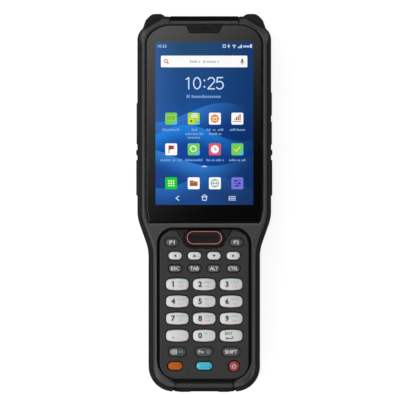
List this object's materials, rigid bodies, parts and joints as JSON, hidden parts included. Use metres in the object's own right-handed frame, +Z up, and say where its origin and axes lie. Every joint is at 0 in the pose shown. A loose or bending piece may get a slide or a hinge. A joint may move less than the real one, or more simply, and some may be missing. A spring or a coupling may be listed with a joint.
{
  "type": "barcode data terminal",
  "caption": "Hand-held barcode data terminal with a touch display over a keypad grip, a scanner window in its top end, side triggers, a hinged port flap and a battery in its back.",
  "frame": {"origin": "on the plane the back rests on, under the middle of the body's length and width", "axes": "+X across to the right seen from the display side, +Y along the body towards the scanner end, +Z up out of the display and keypad"},
  "size_m": [0.073, 0.2028, 0.0288],
  "materials": {
    "housing_plastic": "fine textured dark grey polycarbonate",
    "rear_plastic": "textured near-black polycarbonate",
    "rail_rubber": "soft matt overmoulded rubber",
    "seal_rubber": "smooth black silicone",
    "screw_steel": "dark zinc",
    "cover_glass": "black printed cover glass, polished",
    "display_panel": "lit colour display",
    "grille_black": "black woven mesh",
    "panel_plastic": "satin dark grey",
    "surround_gloss": "gloss black",
    "mat_silicone": "translucent silicone",
    "board_laminate": "green solder mask",
    "module_metal": "dark anodised",
    "window_acrylic": "deep red tinted acrylic in a gloss black frame",
    "module_plastic": "moulded black",
    "battery_wrap": "shrink wrapped black",
    "insert_brass": "turned brass",
    "connector_metal": "bright plated shell and contacts",
    "pin_steel": "ground pin",
    "latch_red": "dark red, ribbed",
    "flap_rubber": "soft matt rubber over a stiff core",
    "side_key_rubber": "soft matt",
    "trigger_red": "dark red, soft matt",
    "key_white": "hard coated silicone, printed legends",
    "key_dark": "hard coated silicone, printed legends",
    "scan_key_red": "dark red translucent rim with a light ring round a black centre",
    "key_orange": "hard coated silicone",
    "key_cyan": "hard coated silicone",
    "key_red": "hard coated silicone"
  },
  "bodies": {
    "terminal": {"front_housing": "housing_plastic", "rear_housing": "rear_plastic", "side_bumper_left": "rail_rubber", "side_bumper_right": "rail_rubber", "housing_gasket": "seal_rubber", "housing_screws": "screw_steel", "touch_glass": "cover_glass", "display_module": "display_panel", "earpiece_grille": "grille_black", "keypad_panel": "panel_plastic", "scan_key_surround": "surround_gloss", "keypad_mat": "mat_silicone", "keypad_pcb": "board_laminate", "main_pcb": "board_laminate", "scan_engine": "module_metal", "scan_window": "window_acrylic", "camera_module": "module_metal", "camera_window": "cover_glass", "loudspeaker": "module_plastic", "battery_pack": "battery_wrap", "battery_cover": "rear_plastic", "accessory_inserts": "insert_brass", "bottom_connector": "connector_metal", "flap_pin": "pin_steel"},
    "battery_latch": {"battery_latch": "latch_red"},
    "port_flap": {"port_flap": "flap_rubber"},
    "volume_rocker": {"volume_rocker": "side_key_rubber"},
    "side_key_upper": {"side_key_upper": "side_key_rubber"},
    "side_key_lower": {"side_key_lower": "side_key_rubber"},
    "scan_trigger_left": {"scan_trigger_left": "trigger_red"},
    "scan_trigger_right": {"scan_trigger_right": "side_key_rubber"},
    "key_scan": {"key_scan": "scan_key_red"},
    "key_p1": {"key_p1": "key_dark"},
    "key_p2": {"key_p2": "key_dark"},
    "key_left": {"key_left": "key_white"},
    "key_up": {"key_up": "key_white"},
    "key_down": {"key_down": "key_white"},
    "key_right": {"key_right": "key_white"},
    "key_esc": {"key_esc": "key_dark"},
    "key_tab": {"key_tab": "key_dark"},
    "key_alt": {"key_alt": "key_dark"},
    "key_ctrl": {"key_ctrl": "key_dark"},
    "key_1": {"key_1": "key_white"},
    "key_2": {"key_2": "key_white"},
    "key_3": {"key_3": "key_white"},
    "key_4": {"key_4": "key_white"},
    "key_5": {"key_5": "key_white"},
    "key_6": {"key_6": "key_white"},
    "key_7": {"key_7": "key_white"},
    "key_8": {"key_8": "key_white"},
    "key_9": {"key_9": "key_white"},
    "key_dot": {"key_dot": "key_white"},
    "key_0": {"key_0": "key_white"},
    "key_ent": {"key_ent": "key_white"},
    "key_backspace": {"key_backspace": "key_dark"},
    "key_fn": {"key_fn": "key_dark"},
    "key_shift": {"key_shift": "key_dark"},
    "key_orange": {"key_orange": "key_orange"},
    "key_blue": {"key_blue": "key_cyan"},
    "key_power": {"key_power": "key_red"}
  },
  "joints": [
    {"name": "press_scan", "type": "slide", "parent": "terminal", "child": "key_scan", "axis": [0, 0, -1], "range_m": [0, 0.001], "stiffness_N_per_m": 1200},
    {"name": "press_p1", "type": "slide", "parent": "terminal", "child": "key_p1", "axis": [0, 0, -1], "range_m": [0, 0.001], "stiffness_N_per_m": 1200},
    {"name": "press_p2", "type": "slide", "parent": "terminal", "child": "key_p2", "axis": [0, 0, -1], "range_m": [0, 0.001], "stiffness_N_per_m": 1200},
    {"name": "press_left", "type": "slide", "parent": "terminal", "child": "key_left", "axis": [0, 0, -1], "range_m": [0, 0.001], "stiffness_N_per_m": 1200},
    {"name": "press_up", "type": "slide", "parent": "terminal", "child": "key_up", "axis": [0, 0, -1], "range_m": [0, 0.001], "stiffness_N_per_m": 1200},
    {"name": "press_down", "type": "slide", "parent": "terminal", "child": "key_down", "axis": [0, 0, -1], "range_m": [0, 0.001], "stiffness_N_per_m": 1200},
    {"name": "press_right", "type": "slide", "parent": "terminal", "child": "key_right", "axis": [0, 0, -1], "range_m": [0, 0.001], "stiffness_N_per_m": 1200},
    {"name": "press_esc", "type": "slide", "parent": "terminal", "child": "key_esc", "axis": [0, 0, -1], "range_m": [0, 0.001], "stiffness_N_per_m": 1200},
    {"name": "press_tab", "type": "slide", "parent": "terminal", "child": "key_tab", "axis": [0, 0, -1], "range_m": [0, 0.001], "stiffness_N_per_m": 1200},
    {"name": "press_alt", "type": "slide", "parent": "terminal", "child": "key_alt", "axis": [0, 0, -1], "range_m": [0, 0.001], "stiffness_N_per_m": 1200},
    {"name": "press_ctrl", "type": "slide", "parent": "terminal", "child": "key_ctrl", "axis": [0, 0, -1], "range_m": [0, 0.001], "stiffness_N_per_m": 1200},
    {"name": "press_1", "type": "slide", "parent": "terminal", "child": "key_1", "axis": [0, 0, -1], "range_m": [0, 0.001], "stiffness_N_per_m": 1200},
    {"name": "press_2", "type": "slide", "parent": "terminal", "child": "key_2", "axis": [0, 0, -1], "range_m": [0, 0.001], "stiffness_N_per_m": 1200},
    {"name": "press_3", "type": "slide", "parent": "terminal", "child": "key_3", "axis": [0, 0, -1], "range_m": [0, 0.001], "stiffness_N_per_m": 1200},
    {"name": "press_4", "type": "slide", "parent": "terminal", "child": "key_4", "axis": [0, 0, -1], "range_m": [0, 0.001], "stiffness_N_per_m": 1200},
    {"name": "press_5", "type": "slide", "parent": "terminal", "child": "key_5", "axis": [0, 0, -1], "range_m": [0, 0.001], "stiffness_N_per_m": 1200},
    {"name": "press_6", "type": "slide", "parent": "terminal", "child": "key_6", "axis": [0, 0, -1], "range_m": [0, 0.001], "stiffness_N_per_m": 1200},
    {"name": "press_7", "type": "slide", "parent": "terminal", "child": "key_7", "axis": [0, 0, -1], "range_m": [0, 0.001], "stiffness_N_per_m": 1200},
    {"name": "press_8", "type": "slide", "parent": "terminal", "child": "key_8", "axis": [0, 0, -1], "range_m": [0, 0.001], "stiffness_N_per_m": 1200},
    {"name": "press_9", "type": "slide", "parent": "terminal", "child": "key_9", "axis": [0, 0, -1], "range_m": [0, 0.001], "stiffness_N_per_m": 1200},
    {"name": "press_dot", "type": "slide", "parent": "terminal", "child": "key_dot", "axis": [0, 0, -1], "range_m": [0, 0.001], "stiffness_N_per_m": 1200},
    {"name": "press_0", "type": "slide", "parent": "terminal", "child": "key_0", "axis": [0, 0, -1], "range_m": [0, 0.001], "stiffness_N_per_m": 1200},
    {"name": "press_ent", "type": "slide", "parent": "terminal", "child": "key_ent", "axis": [0, 0, -1], "range_m": [0, 0.001], "stiffness_N_per_m": 1200},
    {"name": "press_backspace", "type": "slide", "parent": "terminal", "child": "key_backspace", "axis": [0, 0, -1], "range_m": [0, 0.001], "stiffness_N_per_m": 1200},
    {"name": "press_fn", "type": "slide", "parent": "terminal", "child": "key_fn", "axis": [0, 0, -1], "range_m": [0, 0.001], "stiffness_N_per_m": 1200},
    {"name": "press_shift", "type": "slide", "parent": "terminal", "child": "key_shift", "axis": [0, 0, -1], "range_m": [0, 0.001], "stiffness_N_per_m": 1200},
    {"name": "press_orange", "type": "slide", "parent": "terminal", "child": "key_orange", "axis": [0, 0, -1], "range_m": [0, 0.001], "stiffness_N_per_m": 1200},
    {"name": "press_blue", "type": "slide", "parent": "terminal", "child": "key_blue", "axis": [0, 0, -1], "range_m": [0, 0.001], "stiffness_N_per_m": 1200},
    {"name": "press_power", "type": "slide", "parent": "terminal", "child": "key_power", "axis": [0, 0, -1], "range_m": [0, 0.001], "stiffness_N_per_m": 1200},
    {"name": "press_side_upper", "type": "slide", "parent": "terminal", "child": "side_key_upper", "axis": [-1, 0, 0], "range_m": [0, 0.0005], "stiffness_N_per_m": 3000},
    {"name": "press_side_lower", "type": "slide", "parent": "terminal", "child": "side_key_lower", "axis": [-1, 0, 0], "range_m": [0, 0.0005], "stiffness_N_per_m": 3000},
    {"name": "press_trigger_left", "type": "slide", "parent": "terminal", "child": "scan_trigger_left", "axis": [1, 0, 0], "range_m": [0, 0.0008], "stiffness_N_per_m": 2500},
    {"name": "press_trigger_right", "type": "slide", "parent": "terminal", "child": "scan_trigger_right", "axis": [-1, 0, 0], "range_m": [0, 0.0008], "stiffness_N_per_m": 2500},
    {"name": "rock_volume", "type": "hinge", "parent": "terminal", "child": "volume_rocker", "pos_m": [-0.0335, 0.0426, 0.0175], "axis": [0, 0, 1], "range_deg": [-1.3, 1.3], "stiffness_Nm_per_rad": 0.6},
    {"name": "slide_latch", "type": "slide", "parent": "terminal", "child": "battery_latch", "axis": [0, -1, 0], "range_m": [0, 0.003], "stiffness_N_per_m": 300},
    {"name": "swing_port_flap", "type": "hinge", "parent": "terminal", "child": "port_flap", "pos_m": [0, -0.0978, 0.0244], "axis": [-1, 0, 0], "range_deg": [0, 120]}
  ]
}
